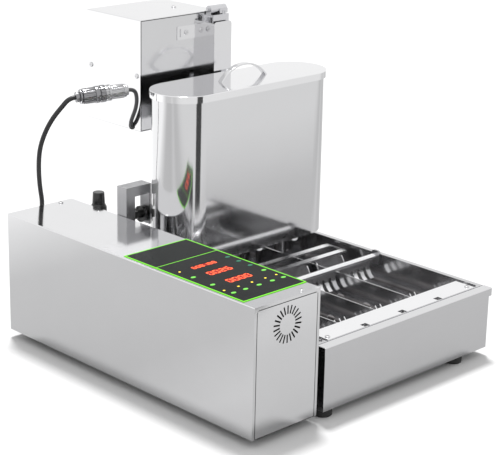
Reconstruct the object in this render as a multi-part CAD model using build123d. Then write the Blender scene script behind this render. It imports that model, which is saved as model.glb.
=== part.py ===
from build123d import *
import math
import os

os.makedirs("parts", exist_ok=True)

# Automatic four-lane mini donut maker.
# Stations used below: x from the control box's left side, y from the two front faces towards the
# back, z from the underside of both housings. Every saved piece is then shifted so that the origin
# is on the table, under the middle of the whole machine. All sizes are in millimetres.

# --- sheet metal and fits
SHEET = 1.2  # polished stainless covers
PAN_WALL = 1.5  # deep-drawn oil pan and its deck
SEAM = 0.4  # gap round a plate that is let into a cover
RUNNING = 0.05  # radial clearance of a shaft in its bearing
LOOSE = 0.6  # clearance of a pin or cable in a punched hole
STAND_OFF = 0.5  # air under and beside sliding frames
OPEN_PIVOT = 0.7  # air at a linkage pivot that is left open

# --- feet
FOOT_HEIGHT = 14.0
FOOT_RADIUS = 15.0
FOOT_INSET = 34.0
TANK_FOOT_INSET = 18.0
TANK_FOOT_RIGHT = 64.0

# --- control box
BOX_WIDTH = 135.0
BOX_LENGTH = 587.0
BOX_HEIGHT = 205.0
END_FLANGE = 5.0  # border that the shell turns in round an end plate
PLATE_CORNER = 5.0
BASE_PLATE = 1.5
SCREW_RADIUS = 4.2
SCREW_HEAD = 1.8
DRIVE_SLOT = 0.7  # cross recess
DRIVE_DEPTH = 1.2

# --- rear end plate: mains inlet and louvres
INLET_X = 38.0
INLET_Z = 82.0
INLET_WIDTH = 28.0
INLET_HEIGHT = 24.0
INLET_DEPTH = 28.0
INLET_RECESS = 17.0
INLET_FLANGE = 3.0
INLET_PITCH = 7.0  # between the pins of a standard mains inlet
LOUVRES = 6
LOUVRE_TOP = 30.0
LOUVRE_PITCH = 8.0
LOUVRE_SLOT = 3.0
LOUVRE_HALF = 37.5

# --- electrical pieces inside the control box
SUPPLY_X = (16.0, 112.0)
SUPPLY_Y = (400.0, 500.0)
SUPPLY_HEIGHT = 44.5
SINK_X = (20.0, 110.0)
SINK_Y = (250.0, 340.0)
SINK_BASE = 6.5
SINK_FINS = 9
FIN_HEIGHT = 20.0
RELAY_HEIGHT = 24.0
RELAY_WIDTH = 36.0
RIB_HEIGHT = 6.0  # ribs on the base plate that carry them
RIB_STATIONS = (120.0, 240.0, 360.0, 480.0)

# --- fan behind the front plate
FAN_SIZE = 60.0
FAN_DEPTH = 25.0
FAN_HEIGHT = 164.0
FAN_SLOTS = 22
SLOT_INNER = 16.0
SLOT_OUTER = 29.0
SLOT_WIDTH = 2.6
FAN_BLADES = 7
HUB_RADIUS = 11.0
FAN_PIN = 2.0

# --- control panel
PANEL_START = 28.0
PANEL_LENGTH = 265.0
PANEL_LEFT = 5.5
PANEL_RIGHT = 0.8
PANEL_THICK = 0.8
PANEL_HEADER = 74.0
DISPLAY_X = 70.5
DISPLAYS = ((48.0, 10.0, 182.0), (46.0, 16.0, 148.0), (46.0, 16.0, 106.0))  # width, depth, y
KEY_FRONT_Y = 64.5
KEY_FRONT_X = (20.5, 44.5, 72.0, 99.5, 122.5)
KEY_RIGHT_Y = (106.0, 135.5, 160.7, 185.3)
KEY_LEFT_Y = (109.0, 151.0)
KEY_LENGTH = 9.0
KEY_DEPTH = 6.0
KEY_RIM = 1.5  # flange that keeps a key under the overlay
KEY_PROUD = 0.4
KEY_TRAVEL = 0.4
KEY_FLANGE = 1.2
LAMP_RADIUS = 2.0
LAMP_ROW_Y = 79.5
LAMP_EXTRA = ((21.0, 182.0), (16.6, 80.5))
BOARD_DROP = 8.0
BOARD_THICK = 1.6

# --- frying tank
SIDE_GAP = 12.0  # air between the control box and the tank's lip
LANES = 4
LANE_PITCH = 88.0
SIDE_CHANNEL = 12.5  # from the outer lanes to the pan's wall
PAN_MARGIN = 8.0
LIP_OVERHANG = 3.0
LIP_REACH = 4.0
LIP_HEIGHT = 13.5
LIP_DEPTH = 18.0
LIP_CORNER = 2.5
TANK_LENGTH = 587.0
RIM_HEIGHT = 106.0
PAN_FRONT = 16.0
PAN_REAR = 470.0
PAN_FLOOR = 28.0
DIVIDER_TOP = 94.0
DIVIDER_START = 76.0
DIVIDER_END = 440.0
DIVIDER_THICK = 2.0

# --- discharge plate at the front of the lanes
DISCHARGE_START = 15.0
DISCHARGE_DEPTH = 39.0
DISCHARGE_HEIGHT = RIM_HEIGHT + PAN_WALL
NOTCH_WIDTH = 12.0
NOTCH_DEPTH = 10.0

# --- heater and probe
HEATER_RADIUS = 4.0
HEATER_HEIGHT = 40.0
HEATER_SPREAD = 20.0
HEATER_FRONT = 45.0
HEATER_REAR = 452.0
HEATER_EXIT = 97.0
PROBE_RADIUS = 3.0
PROBE_HEIGHT = 52.0

# --- turner: a cross shaft with a hooked comb in every lane
TURNER_Y = 240.0
TURNER_Z = 102.0
TURNER_RADIUS = 5.0
COMB_WIDTH = 76.0
COMB_THICK = 2.0
COMB_DROP = 15.0
COMB_BEND = 22.0
COMB_ARC = 62.0
COMB_SLOTS = 4
COMB_SLOT = 8.0

# --- lifter: a front shaft with a fork in every lane
LIFTER_Y = 62.0
LIFTER_Z = 90.0
LIFTER_RADIUS = 4.0
FORK_TINES = 6
TINE_PITCH = 12.0
TINE_RADIUS = 1.4

# --- shaft bearings and levers in the left side channel
BEARING_WIDTH = 4.0
BEARING_LENGTH = 18.0
LEVER_THICK = 2.0
LEVER_GAP = 0.8
RAIL_THICK = 2.5
RAIL_HEIGHT = 8.0
RAIL_Z = 110.0
TURNER_ARM = 17.0
LIFTER_ARM = 14.0

# --- pusher frame
PUSHER_FRONT = 308.0
PUSHER_REAR = 345.0
PUSHER_BAR = 12.0
PUSHER_THICK = 3.0
PUSHER_STROKE = 22.0
PADDLE_WIDTH = 66.0
PADDLE_DROP = 42.0
FIN_LENGTH = 22.0

# --- pusher drive in the control box
CRANK_Z = 150.0
CRANK_THROW = 16.0
CRANK_THICK = 4.0
CRANK_PIN = 3.0
CRANK_SHAFT = 5.0
GEARBOX = 60.0
GEARBOX_X = 62.0
GEARBOX_WIDTH = 46.0
MOTOR_LEG = 62.0
MOTOR_RADIUS = 25.0
MOTOR_LENGTH = 90.0

# --- hopper
HOPPER_Y = 397.0
HOPPER_DEPTH = 108.0
HOPPER_END = 48.5  # from an outer nozzle's middle to the hopper's end
HOPPER_BOTTOM = 129.0
HOPPER_TOP = 416.5
LID_MARGIN = 3.8
LID_SKIRT = 12.0
LID_GAP = 0.3
NOZZLE_BORE = 15.5
NOZZLE_WALL = 2.5
NOZZLE_DROP = 22.0
HOPPER_LUG = 250.0
HANDLE_SPAN = 106.0
HANDLE_RISE = 26.0
HANDLE_WIDTH = 10.0
HANDLE_THICK = 3.2
HANDLE_SHIFT = 5.0

# --- plungers
PLUNGER_CLEARANCE = 0.5
PLUNGER_DISC = 8.0
PLUNGER_ROD = 5.0
YOKE_Z = 372.0
YOKE_SIZE = 8.0
ARM_WIDTH = 14.0
LIFT_STROKE = 18.0

# --- mast and motor box
MAST_GAP = 6.2  # from the lid to the mast's face
MAST_WIDTH = 40.0
MAST_SHIFT = -2.0
MAST_DEPTH = 26.0
MAST_TOP = 503.0
MAST_FOOT = 30.0
EAR_LENGTH = 62.0
EAR_HEIGHT = 23.0
EAR_Z = 488.0
CABINET_WIDTH = 172.0
CABINET_DEPTH = 139.5
CABINET_BOTTOM = 330.0
CABINET_TOP = 519.0
CABINET_SHIFT = 27.5  # from the tank's middle to the motor box's right side

# --- rack and pinion
MODULE = 1.5
PINION_TEETH = 32
PINION_WIDTH = 8.0
PINION_Z = 430.0
PINION_SHAFT = 4.0
TOOTH_WIDTH = 2.0
TOOTH_HEAD = 1.4
TOOTH_ROOT = 1.8
PRESSURE_ANGLE = 20.0
RACK_TEETH = 11
SLIDER_WIDTH = 36.0
SLIDER_THICK = 2.5
SLIDER_BOTTOM = 350.0
SLIDER_TOP = 512.0
HEM_RADIUS = 7.0
HEM_Z = 522.5
STRAP_THICK = 2.0
WING_REACH = 9.0

# --- square-tube bracket, locking pin and clamp knob
BRACKET_WIDTH = 18.5
BRACKET_DEPTH = 24.0
BRACKET_Y = 443.0
BRACKET_TOP = 254.0
BRACKET_ARM = 17.0
BRACKET_REACH = 53.0
BRACKET_GAP = 1.0
LOCK_Z = 199.0
LOCK_INSET = 14.0
LOCK_PIN = 4.0
LOCK_TRAVEL = 4.0
KNOB_X = 160.0
KNOB_Y = 546.0
KNOB_TOP = 221.0
KNOB_STEM = 4.0
KNOB_LENGTH = 34.0
KNOB_SKIRT = 14.0
KNOB_NECK = 10.0

# --- cables and their fittings
CABLE_RADIUS = 4.0
PIGTAIL_RADIUS = 3.3
PLUG_SHARE = 0.56  # of the connector's length
PLUG_RINGS = (8.0, 13.0, 12.0, 14.3)
SOCKET_RINGS = (13.3, 13.5, 11.5, 9.5)
GLAND_Z = 42.0
GLAND_X = 100.0
GLAND_LENGTH = 24.0
GLAND_NECK = 7.5
GROMMET_NECK = 5.0
GROMMET_FLANGE = 1.5
CONNECTOR_LENGTH = 90.0

# --- derived places
HOUSING_X0 = BOX_WIDTH + SIDE_GAP + LIP_OVERHANG
PAN_X0 = HOUSING_X0 + PAN_MARGIN
LANES_X0 = PAN_X0 + PAN_WALL + SIDE_CHANNEL
LANES_X1 = LANES_X0 + LANES * LANE_PITCH
PAN_X1 = LANES_X1 + SIDE_CHANNEL + PAN_WALL
HOUSING_X1 = PAN_X1 + PAN_MARGIN
TANK_MID = (HOUSING_X0 + HOUSING_X1) / 2
LANE_MIDDLES = [LANES_X0 + (lane + 0.5) * LANE_PITCH for lane in range(LANES)]
PAN_IN0 = PAN_X0 + PAN_WALL
PAN_IN1 = PAN_X1 - PAN_WALL
FLANGE_Z = RIM_HEIGHT - PAN_WALL
HOPPER_LENGTH = (LANES - 1) * LANE_PITCH + 2 * HOPPER_END
LID_LENGTH = HOPPER_LENGTH + 2 * LID_MARGIN
LID_DEPTH = HOPPER_DEPTH + 2 * LID_MARGIN
LID_TOP = HOPPER_TOP + LID_GAP + SHEET
MAST_Y0 = HOPPER_Y + LID_DEPTH / 2 + MAST_GAP
MAST_Y1 = MAST_Y0 + MAST_DEPTH
MAST_X0 = TANK_MID + MAST_SHIFT
MAST_X1 = MAST_X0 + MAST_WIDTH
CABINET_X1 = TANK_MID + CABINET_SHIFT
CABINET_X0 = CABINET_X1 - CABINET_WIDTH
CABINET_Y1 = MAST_Y1 + CABINET_DEPTH
SLIDER_X0 = MAST_X0 + (MAST_WIDTH - SLIDER_WIDTH) / 2
SLIDER_MID = MAST_X0 + MAST_WIDTH / 2
SLIDER_Y0 = MAST_Y0 + SHEET + STAND_OFF + 3.5
PITCH_RADIUS = MODULE * PINION_TEETH / 2
RACK_LINE = MAST_Y1 - PITCH_RADIUS + 13.0
PINION_Y = RACK_LINE + PITCH_RADIUS
RAIL_X0 = LANES_X0 - STAND_OFF - RAIL_THICK
LEVER_X0 = PAN_IN0 + BEARING_WIDTH + LEVER_GAP
CRANK_Y = (PUSHER_FRONT + PUSHER_REAR) / 2 - PUSHER_STROKE / 2
CRANK_X0 = BOX_WIDTH + 2.5
MACHINE_WIDTH = HOUSING_X1 + LIP_OVERHANG
MACHINE_BACK = max(CABINET_Y1, TANK_LENGTH, BOX_LENGTH)
FRAME = Pos(-MACHINE_WIDTH / 2, -(MACHINE_BACK - LIP_REACH) / 2, FOOT_HEIGHT)


def block(x, y, z):
    """A box between two x, two y and two z stations."""
    size = Box(x[1] - x[0], y[1] - y[0], z[1] - z[0])
    return Pos((x[0] + x[1]) / 2, (y[0] + y[1]) / 2, (z[0] + z[1]) / 2) * size


def around(middle, half):
    """The two stations that lie a half size either side of a middle."""
    return (middle - half, middle + half)


def rod(start, end, radius):
    """A round bar from one point to another."""
    run = Vector(*end) - Vector(*start)
    bar = Cylinder(radius, run.length, align=(Align.CENTER, Align.CENTER, Align.MIN))
    return Plane(origin=start, z_dir=run) * bar


def stadium(length, depth, z):
    """A block with half-round ends over the middle of the tank, at the hopper's station."""
    outline = Pos(TANK_MID, HOPPER_Y, z[0]) * SlotOverall(length, depth)
    return extrude(outline, z[1] - z[0])


def side_profile(points, x):
    """A side outline of (y, z) points, as thick as the range x."""
    outline = Plane.YZ.offset(x[0]) * Polygon(*points, align=None)
    return extrude(outline, x[1] - x[0])


def screw(place, out):
    """A domed screw head that stands on a face and points along out."""
    face = Plane(origin=place, z_dir=out)
    head = Cylinder(SCREW_RADIUS, SCREW_HEAD, align=(Align.CENTER, Align.CENTER, Align.MIN))
    head = fillet(head.edges().group_by(Axis.Z)[-1], SCREW_HEAD * 0.6)
    bar = Box(SCREW_RADIUS, DRIVE_SLOT, DRIVE_DEPTH)
    drive = Pos(0, 0, SCREW_HEAD) * (bar + Rot(0, 0, 90) * bar)
    return face * (head - drive)


def save(node, *shapes):
    """Writes one node, which may be a group of separate solids."""
    solids = [solid for shape in shapes for solid in shape.solids()]
    export_step(FRAME * Compound(solids), f"parts/{node}.step")


def copies(shape, offsets):
    """The same shape at several places."""
    return [Pos(*offset) * shape for offset in offsets]


# --- control box ------------------------------------------------------------------------------
def end_opening(inset, y):
    """Outline of an end plate, or with no inset of the opening it sits in."""
    border = END_FLANGE + inset
    opening = block((border, BOX_WIDTH - border), y, (0, BOX_HEIGHT - border))
    upper = opening.edges().filter_by(Axis.Y).group_by(Axis.Z)[-1]
    return fillet(upper, PLATE_CORNER - inset)


def panel_opening():
    """Window in the shell's top for keys, lamps and displays."""
    return block(
        (PANEL_LEFT + 4, BOX_WIDTH - 5),
        (KEY_FRONT_Y - 10, KEY_RIGHT_Y[-1] + 10),
        (BOX_HEIGHT - 2 * SHEET, BOX_HEIGHT + 1),
    )


def control_box_shell():
    """Bent cover of the control box: both sides, top and the turned-in end borders."""
    outer = block((0, BOX_WIDTH), (0, BOX_LENGTH), (0, BOX_HEIGHT))
    top_edges = outer.edges().filter_by(Axis.Y).group_by(Axis.Z)[-1]
    outer = fillet(top_edges, SHEET)
    hollow = block(
        (SHEET, BOX_WIDTH - SHEET), (SHEET, BOX_LENGTH - SHEET), (-1, BOX_HEIGHT - SHEET)
    )
    shaft_hole = rod((BOX_WIDTH - 5, CRANK_Y, CRANK_Z), (BOX_WIDTH + 1, CRANK_Y, CRANK_Z), 8)
    return outer - hollow - end_opening(0, (-1, BOX_LENGTH + 1)) - panel_opening() - shaft_hole


def control_box_front_plate():
    """Front end plate with its ring of radial fan slots."""
    panel = end_opening(SEAM, (0, SHEET))
    for turn in range(FAN_SLOTS):
        slot = block((-SLOT_WIDTH / 2, SLOT_WIDTH / 2), (-1, SHEET + 1), (SLOT_INNER, SLOT_OUTER))
        panel -= Pos(BOX_WIDTH / 2, 0, FAN_HEIGHT) * Rot(0, turn * 360 / FAN_SLOTS, 0) * slot
    return panel


def control_box_rear_plate():
    """Rear end plate with the holes for the cable gland and the mains inlet."""
    panel = end_opening(SEAM, (BOX_LENGTH - SHEET, BOX_LENGTH))
    through = (BOX_LENGTH - 5, BOX_LENGTH + 5)
    panel -= rod((GLAND_X, through[0], GLAND_Z), (GLAND_X, through[1], GLAND_Z), GLAND_NECK + SEAM)
    panel -= inlet_body(through, SEAM)
    for row in range(LOUVRES):
        z = BOX_HEIGHT - LOUVRE_TOP - row * LOUVRE_PITCH
        panel -= block(around(BOX_WIDTH / 2, LOUVRE_HALF), through, (z, z + LOUVRE_SLOT))
    return panel


def inlet_body(y, clearance):
    """The part of the mains inlet that passes through the rear plate."""
    x = around(INLET_X, INLET_WIDTH / 2 + clearance)
    return block(x, y, around(INLET_Z, INLET_HEIGHT / 2 + clearance))


def mains_inlet():
    """Recessed three-pin mains inlet with its screw flange."""
    inlet = inlet_body((BOX_LENGTH - INLET_DEPTH, BOX_LENGTH), 0)
    flange_x = around(INLET_X, INLET_WIDTH / 2 + 10)
    flange_y = (BOX_LENGTH, BOX_LENGTH + INLET_FLANGE)
    inlet += block(flange_x, flange_y, around(INLET_Z, INLET_HEIGHT / 2 + 2))
    floor = BOX_LENGTH - INLET_RECESS
    recess_x = around(INLET_X, INLET_WIDTH / 2 - 2.5)
    inlet -= block(recess_x, (floor, flange_y[1] + 1), around(INLET_Z, INLET_HEIGHT / 2 - 4))
    for dx, dz in ((-INLET_PITCH, -3), (0, 2), (INLET_PITCH, -3)):
        pin = block(around(INLET_X + dx, 1), (floor - 3, BOX_LENGTH - 2), around(INLET_Z + dz, 2))
        inlet += pin
    return inlet


def control_box_base():
    """Base plate with four shallow mounting ribs."""
    base = block((SHEET, BOX_WIDTH - SHEET), (SHEET, BOX_LENGTH - SHEET), (0, BASE_PLATE))
    for y in RIB_STATIONS:
        base += block((12, BOX_WIDTH - 12), (y, y + 10), (BASE_PLATE, BASE_PLATE + RIB_HEIGHT))
    return base


def feet():
    """Eight turned rubber feet, four under each housing."""
    foot = Cylinder(FOOT_RADIUS, FOOT_HEIGHT, align=(Align.CENTER, Align.CENTER, Align.MAX))
    foot = fillet(foot.edges().group_by(Axis.Z)[0], 2)
    box_columns = (FOOT_INSET, BOX_WIDTH - FOOT_INSET)
    box_rows = (FOOT_INSET, BOX_LENGTH - FOOT_INSET)
    tank_columns = (HOUSING_X0 + TANK_FOOT_INSET, HOUSING_X1 - TANK_FOOT_RIGHT)
    tank_rows = (TANK_FOOT_INSET, TANK_LENGTH - TANK_FOOT_INSET)
    places = [(x, y, 0) for x in box_columns for y in box_rows]
    places += [(x, y, 0) for x in tank_columns for y in tank_rows]
    return copies(foot, places)


def key_places():
    """Middle of each key: the front row, the right column and the left column."""
    front = [(x, KEY_FRONT_Y) for x in KEY_FRONT_X]
    right = [(KEY_FRONT_X[-1], y) for y in KEY_RIGHT_Y]
    left = [(KEY_FRONT_X[0], y) for y in KEY_LEFT_Y]
    return front + right + left


def lamp_places():
    """Middle of each indicator lamp: one behind each front key but the first, and two more."""
    return [(x, LAMP_ROW_Y) for x in KEY_FRONT_X[1:]] + list(LAMP_EXTRA)


def oval(x, y, grow, z):
    """An oval the shape of a key cap, grown by a margin."""
    outline = Pos(x, y, z[0]) * Ellipse(KEY_LENGTH / 2 + grow, KEY_DEPTH / 2 + grow)
    return extrude(outline, z[1] - z[0])


def key(x, y):
    """A push key: an oval cap on a flange that the overlay holds down."""
    flange_top = BOX_HEIGHT - 0.1
    cap = oval(x, y, 0, (flange_top - KEY_FLANGE, BOX_HEIGHT + PANEL_THICK + KEY_PROUD))
    cap = fillet(cap.edges().group_by(Axis.Z)[-1], KEY_PROUD * 0.8)
    return cap + oval(x, y, KEY_RIM, (flange_top - KEY_FLANGE, flange_top))


def panel_overlay():
    """Printed front sheet of the control panel, pierced for keys, lamps and displays."""
    z = (BOX_HEIGHT, BOX_HEIGHT + PANEL_THICK)
    cut = (BOX_HEIGHT - 1, BOX_HEIGHT + PANEL_THICK + 1)
    sheet = block(
        (PANEL_LEFT, BOX_WIDTH - PANEL_RIGHT), (PANEL_START, PANEL_START + PANEL_LENGTH), z
    )
    for x, y in key_places():
        sheet -= oval(x, y, SEAM / 2, cut)
    for x, y in lamp_places():
        sheet -= rod((x, y, cut[0]), (x, y, cut[1]), LAMP_RADIUS)
    for width, depth, y in DISPLAYS:
        sheet -= display_window(width, depth, y, cut)
    return sheet


def display_window(width, depth, y, z):
    """The tinted window of one row of digits."""
    return block(
        (DISPLAY_X - width / 2, DISPLAY_X + width / 2), (y - depth / 2, y + depth / 2), z
    )


def digit_displays():
    """Three rows of digits, each behind its own window."""
    z = (BOX_HEIGHT - BOARD_DROP + BOARD_THICK, BOX_HEIGHT + PANEL_THICK - 0.2)
    return [display_window(width, depth, y, z) for width, depth, y in DISPLAYS]


def indicator_lamps():
    """Small domed lamps that stand on the board and show through the overlay."""
    low = BOX_HEIGHT - BOARD_DROP + BOARD_THICK
    high = BOX_HEIGHT + PANEL_THICK + 0.3
    lamps = [rod((x, y, low), (x, y, high), LAMP_RADIUS) for x, y in lamp_places()]
    return [fillet(lamp.edges().group_by(Axis.Z)[-1], 0.6) for lamp in lamps]


def control_board():
    """Circuit board under the panel, with one switch under each key."""
    low = BOX_HEIGHT - BOARD_DROP
    board = block(
        (PANEL_LEFT + 3, BOX_WIDTH - 4),
        (KEY_FRONT_Y - 14, KEY_RIGHT_Y[-1] + 12),
        (low, low + BOARD_THICK),
    )
    switch_top = BOX_HEIGHT - 0.1 - KEY_FLANGE - KEY_TRAVEL - 0.05
    for x, y in key_places():
        board += block((x - 3, x + 3), (y - 3, y + 3), (low + BOARD_THICK, switch_top))
    return board


def fan_frame():
    """Square fan frame with its rear spider and bearing pin."""
    y0 = SHEET + 1
    y1 = y0 + FAN_DEPTH
    x = BOX_WIDTH / 2
    half = FAN_SIZE / 2
    frame = block((x - half, x + half), (y0, y1), (FAN_HEIGHT - half, FAN_HEIGHT + half))
    frame = fillet(frame.edges().filter_by(Axis.Y), 4)
    frame -= rod((x, y0 - 1, FAN_HEIGHT), (x, y1 + 1, FAN_HEIGHT), half - 1.5)
    hub = rod((x, y1 - 3, FAN_HEIGHT), (x, y1, FAN_HEIGHT), HUB_RADIUS)
    for angle in (45, 135):
        strut = block((-half, half), (-3, 0), (-1.5, 1.5))
        hub += Pos(x, y1, FAN_HEIGHT) * Rot(0, angle, 0) * strut
    pin = rod((x, y0 + 6, FAN_HEIGHT), (x, y1 - 2, FAN_HEIGHT), FAN_PIN)
    return frame + hub + pin


def fan_rotor():
    """Fan wheel with pitched blades on a cupped hub."""
    x = BOX_WIDTH / 2
    y0 = SHEET + 3
    y1 = SHEET + 1 + FAN_DEPTH - 4
    wheel = rod((x, y0, FAN_HEIGHT), (x, y1, FAN_HEIGHT), HUB_RADIUS)
    reach = FAN_SIZE / 2 - 3.5
    blade = Pos(0, 0, (HUB_RADIUS - 1 + reach) / 2) * Rot(0, 0, 35) * Box(
        1.6, 13, reach - HUB_RADIUS + 1
    )
    for turn in range(FAN_BLADES):
        place = Pos(x, (y0 + y1) / 2, FAN_HEIGHT) * Rot(0, turn * 360 / FAN_BLADES, 0)
        wheel += place * blade
    return wheel - rod((x, y0 + 2, FAN_HEIGHT), (x, y1 + 1, FAN_HEIGHT), FAN_PIN + RUNNING)


def power_supply():
    """Low-voltage power supply in a folded case with a terminal row."""
    low = BASE_PLATE + RIB_HEIGHT
    high = low + SUPPLY_HEIGHT
    case = block(SUPPLY_X, SUPPLY_Y, (low, high))
    for slot in range(7):
        y = SUPPLY_Y[0] + 10 + slot * 11
        case -= block((SUPPLY_X[0] + 14, SUPPLY_X[1] - 14), (y, y + 4), (high - 3, high + 1))
    row_x = (SUPPLY_X[0] + 8, SUPPLY_X[1] - 8)
    return case + block(row_x, (SUPPLY_Y[0] - 12, SUPPLY_Y[0]), (low, low + 18))


def heater_relays():
    """Two solid-state relays on one finned heat sink."""
    low = BASE_PLATE + RIB_HEIGHT
    fin_low = low + SINK_BASE
    fin_high = fin_low + FIN_HEIGHT
    relays = block(SINK_X, SINK_Y, (low, fin_low))
    pitch = (SINK_X[1] - SINK_X[0] - 6) / (SINK_FINS - 1)
    for fin in range(SINK_FINS):
        relays += block(around(SINK_X[0] + 3 + fin * pitch, 1), SINK_Y, (fin_low, fin_high))
    for x in (SINK_X[0] + 2, SINK_X[1] - 2 - RELAY_WIDTH):
        relay_y = (SINK_Y[0] + 12, SINK_Y[1] - 12)
        relays += block((x, x + RELAY_WIDTH), relay_y, (fin_high, fin_high + RELAY_HEIGHT))
    return relays


def drive_motor():
    """Gearmotor of the pusher drive, on a bracket that stands on the base."""
    half = GEARBOX / 2
    x0 = GEARBOX_X
    gearbox = block((x0, x0 + GEARBOX_WIDTH), around(CRANK_Y, half), around(CRANK_Z, half))
    gearbox = fillet(gearbox.edges().filter_by(Axis.X), 5)
    motor_x = x0 + GEARBOX_WIDTH / 2
    motor_y = CRANK_Y + half
    motor = rod((motor_x, motor_y, CRANK_Z), (motor_x, motor_y + MOTOR_LENGTH, CRANK_Z), MOTOR_RADIUS)
    foot_z = CRANK_Z - half - MOTOR_LEG
    leg = block((x0, x0 + 4), around(CRANK_Y, half - 6), (foot_z, CRANK_Z))
    leg += block((x0, x0 + 40), around(CRANK_Y, half - 6), (foot_z, foot_z + 3))
    bore_x = (x0 + 20, x0 + GEARBOX_WIDTH + 1)
    bore = rod((bore_x[0], CRANK_Y, CRANK_Z), (bore_x[1], CRANK_Y, CRANK_Z), CRANK_SHAFT + RUNNING)
    return gearbox + motor + leg - bore


def drive_crank():
    """Output shaft with the crank disc and its pin, in the gap beside the control box."""
    shaft = rod((GEARBOX_X + 22, CRANK_Y, CRANK_Z), (CRANK_X0, CRANK_Y, CRANK_Z), CRANK_SHAFT)
    disc_end = CRANK_X0 + CRANK_THICK
    disc = rod((CRANK_X0, CRANK_Y, CRANK_Z), (disc_end, CRANK_Y, CRANK_Z), CRANK_THROW + 6)
    pin_z = CRANK_Z + CRANK_THROW
    pin_end = HOUSING_X0 - SHEET - OPEN_PIVOT
    return shaft + disc + rod((disc_end, CRANK_Y, pin_z), (pin_end, CRANK_Y, pin_z), CRANK_PIN)


# --- frying tank ------------------------------------------------------------------------------
def tank_housing():
    """Outer case of the tank: bottom, both sides and back."""
    case = block((HOUSING_X0, HOUSING_X1), (SHEET, TANK_LENGTH), (0, FLANGE_Z))
    return case - block(
        (HOUSING_X0 + SHEET, HOUSING_X1 - SHEET), (-1, TANK_LENGTH - SHEET), (SHEET, RIM_HEIGHT)
    )


def tank_front_panel():
    """Front panel with the folded lip that stands out over it."""
    panel = block((HOUSING_X0, HOUSING_X1), (0, SHEET), (0, RIM_HEIGHT - SHEET))
    lip = block(
        (HOUSING_X0 - LIP_OVERHANG, HOUSING_X1 + LIP_OVERHANG),
        (-LIP_REACH, LIP_DEPTH - LIP_REACH),
        (RIM_HEIGHT - LIP_HEIGHT, RIM_HEIGHT),
    )
    rounded = lip.edges().filter_by(Axis.Z).group_by(Axis.Y)[0]
    lip = fillet(rounded, LIP_CORNER)
    lip = fillet(lip.edges().group_by(Axis.Z)[-1], LIP_CORNER / 2)
    inside = block(
        (HOUSING_X0 - LIP_OVERHANG + SHEET, HOUSING_X1 + LIP_OVERHANG - SHEET),
        (-LIP_REACH + SHEET, LIP_DEPTH + 1),
        (RIM_HEIGHT - LIP_HEIGHT - 1, RIM_HEIGHT - SHEET),
    )
    return lip - inside + panel


def tank_pan():
    """Oil pan with a wide rim flange that rests on the housing."""
    y0 = LIP_DEPTH - LIP_REACH + SEAM
    outer = block((PAN_X0, PAN_X1), (PAN_FRONT, PAN_REAR), (PAN_FLOOR, FLANGE_Z))
    outer = fillet(outer.edges().filter_by(Axis.Z), 8)
    flange = block((HOUSING_X0, HOUSING_X1), (y0, PAN_REAR + 2), (FLANGE_Z, RIM_HEIGHT))
    inner = block(
        (PAN_IN0, PAN_IN1),
        (PAN_FRONT + PAN_WALL, PAN_REAR - PAN_WALL),
        (PAN_FLOOR + PAN_WALL, RIM_HEIGHT + 1),
    )
    inner = fillet(inner.edges().filter_by(Axis.Z), 8 - PAN_WALL)
    pan = outer + flange - inner
    for x in LANE_MIDDLES:
        for side in (-HEATER_SPREAD, HEATER_SPREAD):
            pan -= rod(
                (x + side, PAN_REAR - 5, HEATER_EXIT),
                (x + side, PAN_REAR + 5, HEATER_EXIT),
                HEATER_RADIUS,
            )
    x = probe_x()
    return pan - rod((x, PAN_REAR - 5, HEATER_EXIT), (x, PAN_REAR + 5, HEATER_EXIT), PROBE_RADIUS)


def rear_deck():
    """Cover plate behind the pan that carries the mast and the clamp knob."""
    deck = block(
        (HOUSING_X0, HOUSING_X1), (PAN_REAR + 2 + SEAM, TANK_LENGTH), (FLANGE_Z, RIM_HEIGHT)
    )
    boss = rod((KNOB_X, KNOB_Y, FLANGE_Z), (KNOB_X, KNOB_Y, RIM_HEIGHT + 30), 9)
    hole = rod((KNOB_X, KNOB_Y, 0), (KNOB_X, KNOB_Y, RIM_HEIGHT + 31), KNOB_STEM + RUNNING)
    return deck + boss - hole


def heating_element():
    """One tubular hairpin heater under each lane, with both ends through the pan's rear wall."""
    end = PAN_REAR + 12
    pins = []
    for x in LANE_MIDDLES:
        left = x - HEATER_SPREAD
        right = x + HEATER_SPREAD
        route = FilletPolyline(
            (left, end, HEATER_EXIT),
            (left, HEATER_REAR, HEATER_EXIT),
            (left, HEATER_REAR, HEATER_HEIGHT),
            (left, HEATER_FRONT, HEATER_HEIGHT),
            (right, HEATER_FRONT, HEATER_HEIGHT),
            (right, HEATER_REAR, HEATER_HEIGHT),
            (right, HEATER_REAR, HEATER_EXIT),
            (right, end, HEATER_EXIT),
            radius=HEATER_SPREAD * 0.7,
        )
        pins.append(tube_along(route, HEATER_RADIUS))
    return pins


def tube_along(route, radius):
    """A round bar along a path of runs and arcs."""
    start = Plane(origin=route @ 0, z_dir=route % 0)
    return sweep(start * Circle(radius), path=route)


def probe_x():
    """The thermostat probe lies in the left side channel."""
    return PAN_IN0 + SIDE_CHANNEL / 2


def thermostat_probe():
    """Bulb of the thermostat, low in the oil, with its capillary out of the pan's rear wall."""
    x = probe_x()
    route = FilletPolyline(
        (x, PAN_REAR + 12, HEATER_EXIT),
        (x, HEATER_REAR, HEATER_EXIT),
        (x, HEATER_REAR, PROBE_HEIGHT),
        (x, HEATER_REAR - 150, PROBE_HEIGHT),
        radius=12,
    )
    return tube_along(route, PROBE_RADIUS)


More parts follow.
